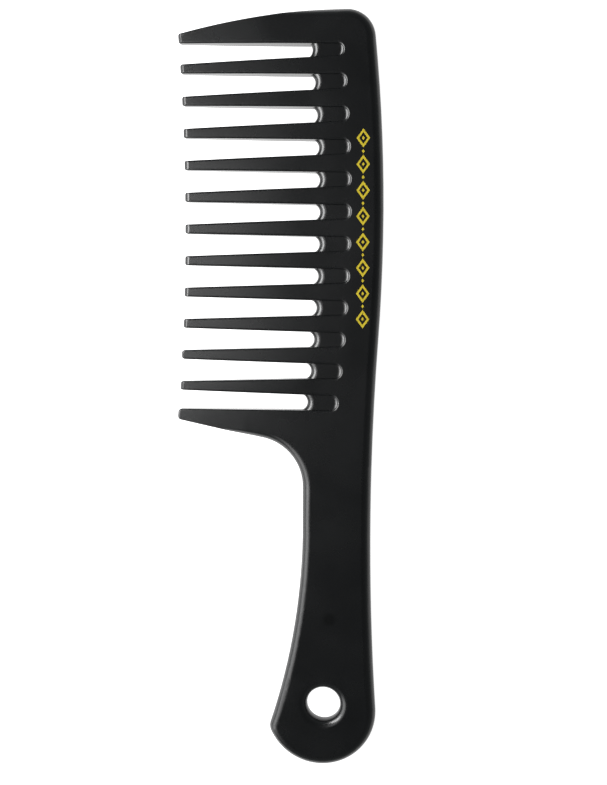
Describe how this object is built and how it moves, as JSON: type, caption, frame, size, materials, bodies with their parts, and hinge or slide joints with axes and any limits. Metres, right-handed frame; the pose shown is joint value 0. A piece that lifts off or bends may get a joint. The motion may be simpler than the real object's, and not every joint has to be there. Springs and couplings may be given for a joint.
{
  "type": "wide tooth comb",
  "caption": "Flat handled hair comb with widely spaced tapering teeth between two thick guard teeth, and a hanging hole in the handle.",
  "frame": {"origin": "middle of the bounding box in X and Y, on the back face, which rests on a table", "axes": "+Y along the comb from the handle to the head, +X from the tooth tips to the back of the comb, +Z out of the stamped face"},
  "size_m": [0.066, 0.2414, 0.0062],
  "materials": {
    "moulding": "satin black injection-moulded plastic",
    "foil": "gold hot-stamp foil"
  },
  "bodies": {
    "root": {"handle": "moulding", "back": "moulding", "head_guard": "moulding", "tooth_01": "moulding", "tooth_02": "moulding", "tooth_03": "moulding", "tooth_04": "moulding", "tooth_05": "moulding", "tooth_06": "moulding", "tooth_07": "moulding", "tooth_08": "moulding", "tooth_09": "moulding", "tooth_10": "moulding", "tooth_11": "moulding", "throat_guard": "moulding", "web_01": "moulding", "web_02": "moulding", "web_03": "moulding", "web_04": "moulding", "web_05": "moulding", "web_06": "moulding", "web_07": "moulding", "web_08": "moulding", "web_09": "moulding", "web_10": "moulding", "web_11": "moulding", "web_12": "moulding", "foil_stamp": "foil"}
  },
  "joints": []
}
